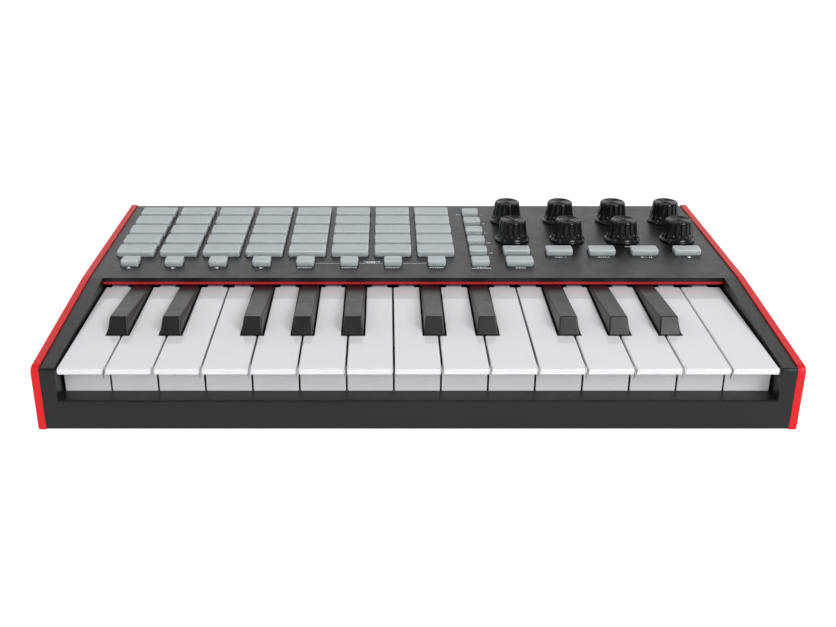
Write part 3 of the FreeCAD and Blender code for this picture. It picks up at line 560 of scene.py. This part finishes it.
def make_socket_tongue():
    """The insulating tongue in the middle of the square socket, with two contacts above and below."""
    low, high = box_mm("usb_port")
    x, z, mouth = (low.x + high.x) / 2, (low.z + high.z) / 2, high.y
    half_width, half_height = TONGUE_WIDTH / 2, TONGUE_HEIGHT / 2
    work = bmesh.new()
    block(work, (x - half_width, mouth - TONGUE_ROOT, z - half_height),
          (x + half_width, mouth - TONGUE_TIP, z + half_height))
    for side in (-1, 1):
        for face in (z - half_height, z + half_height):
            middle = x + side * CONTACT_ASIDE
            block(work, (middle - CONTACT_WIDTH / 2, mouth - TONGUE_ROOT + 0.4, face - CONTACT_PROUD),
                  (middle + CONTACT_WIDTH / 2, mouth - TONGUE_TIP - 0.5, face + CONTACT_PROUD), material=1)
    new_piece("data_socket_tongue", work, [socket_plastic, contact_gold], "chassis", smooth=False)


make_socket_tongue()


# ------------------------------------------------------------------ stage, light and camera
def floor_material():
    material, tree, shader = new_material("studio_floor", Roughness=0.75)
    place = coordinates(tree)
    shade = ramp(tree, noise(tree, place, 3.0), [(0.3, (0.30, 0.30, 0.30)), (0.7, (0.32, 0.32, 0.32))])
    tree.links.new(shade, shader.inputs["Base Color"])
    shader.inputs["Emission Color"].default_value = (1, 1, 1, 1)
    ray = add_node(tree, "ShaderNodeLightPath")
    glow = add_node(tree, "ShaderNodeMapRange")
    glow.inputs["To Min"].default_value = 0.54
    glow.inputs["To Max"].default_value = 0.95
    tree.links.new(ray.outputs["Is Camera Ray"], glow.inputs["Value"])
    tree.links.new(glow.outputs["Result"], shader.inputs["Emission Strength"])
    return material


def make_floor():
    mesh = bpy.data.meshes.new("studio_floor")
    work = bmesh.new()
    bmesh.ops.create_grid(work, x_segments=8, y_segments=8, size=6.0)
    work.to_mesh(mesh)
    work.free()
    floor = bpy.data.objects.new("studio_floor", mesh)
    floor.location = (0, 0, -0.0002)
    mesh.materials.append(floor_material())
    scene.collection.objects.link(floor)


def area_light(name, place, aim, size, power, glossy=True):
    """A softbox; one that is not glossy gives soft light but no reflection."""
    data = bpy.data.lights.new(name, "AREA")
    data.shape = "RECTANGLE"
    data.size, data.size_y = size
    data.energy = power
    light = bpy.data.objects.new(name, data)
    light.location = place
    light.rotation_euler = (Vector(aim) - Vector(place)).to_track_quat("-Z", "Y").to_euler()
    light.visible_glossy = glossy
    scene.collection.objects.link(light)


BAND_LIGHT = 0.90   # strength of the band at the back, beyond the dim light
DIM_LIGHT = 0.17    # strength everywhere else


def studio_world():
    """White behind the object; the light itself is a bright band low at the back, dim overhead."""
    world = bpy.data.worlds.new("studio")
    scene.world = world
    world.use_nodes = True
    tree = world.node_tree
    background = tree.nodes["Background"]
    background.inputs["Color"].default_value = (1, 1, 1, 1)
    place = add_node(tree, "ShaderNodeTexCoord")
    parts = add_node(tree, "ShaderNodeSeparateXYZ")
    tree.links.new(place.outputs["Generated"], parts.inputs["Vector"])
    low = add_node(tree, "ShaderNodeMapRange", interpolation_type="SMOOTHSTEP")
    for socket, value in (("From Min", 0.4), ("From Max", 0.92), ("To Min", 1.0), ("To Max", 0.0)):
        low.inputs[socket].default_value = value
    tree.links.new(parts.outputs["Z"], low.inputs["Value"])
    back = add_node(tree, "ShaderNodeMapRange", interpolation_type="SMOOTHSTEP")
    for socket, value in (("From Min", -0.35), ("From Max", 0.35), ("To Min", 0.0), ("To Max", 1.0)):
        back.inputs[socket].default_value = value
    tree.links.new(parts.outputs["Y"], back.inputs["Value"])
    band = add_node(tree, "ShaderNodeMath", operation="MULTIPLY")
    tree.links.new(low.outputs["Result"], band.inputs[0])
    tree.links.new(back.outputs["Result"], band.inputs[1])
    level = add_node(tree, "ShaderNodeMath", operation="MULTIPLY_ADD")
    level.inputs[1].default_value = BAND_LIGHT
    level.inputs[2].default_value = DIM_LIGHT
    tree.links.new(band.outputs["Value"], level.inputs[0])
    ray = add_node(tree, "ShaderNodeLightPath")
    seen = add_node(tree, "ShaderNodeMath", operation="MAXIMUM")
    tree.links.new(level.outputs["Value"], seen.inputs[0])
    tree.links.new(ray.outputs["Is Camera Ray"], seen.inputs[1])
    tree.links.new(seen.outputs["Value"], background.inputs["Strength"])


make_floor()
studio_world()
area_light("front_fill", (-0.1, -1.15, 0.95), (0, 0, 0), (1.3, 0.8), 8.6, glossy=False)
area_light("low_fill", (0.0, -1.5, 0.22), (0, 0, 0.02), (1.6, 0.3), 3.0, glossy=False)
area_light("right_softbox", (0.70, -0.90, 0.80), (0, 0, 0), (0.45, 0.6), 9.6)
area_light("left_strip", (-0.95, -0.55, 0.75), (0, 0, 0), (0.16, 0.7), 1.3)

camera_data = bpy.data.cameras.new("camera")
camera_data.lens = 46.93
camera_data.sensor_width = 36.0
camera_data.shift_x = 0.0386
camera = bpy.data.objects.new("camera", camera_data)
camera.location = (-0.01305, -0.487775, 0.2250)
camera.rotation_euler = (math.radians(66.24), 0, 0)
scene.collection.objects.link(camera)
scene.camera = camera
scene.view_settings.view_transform = "Standard"
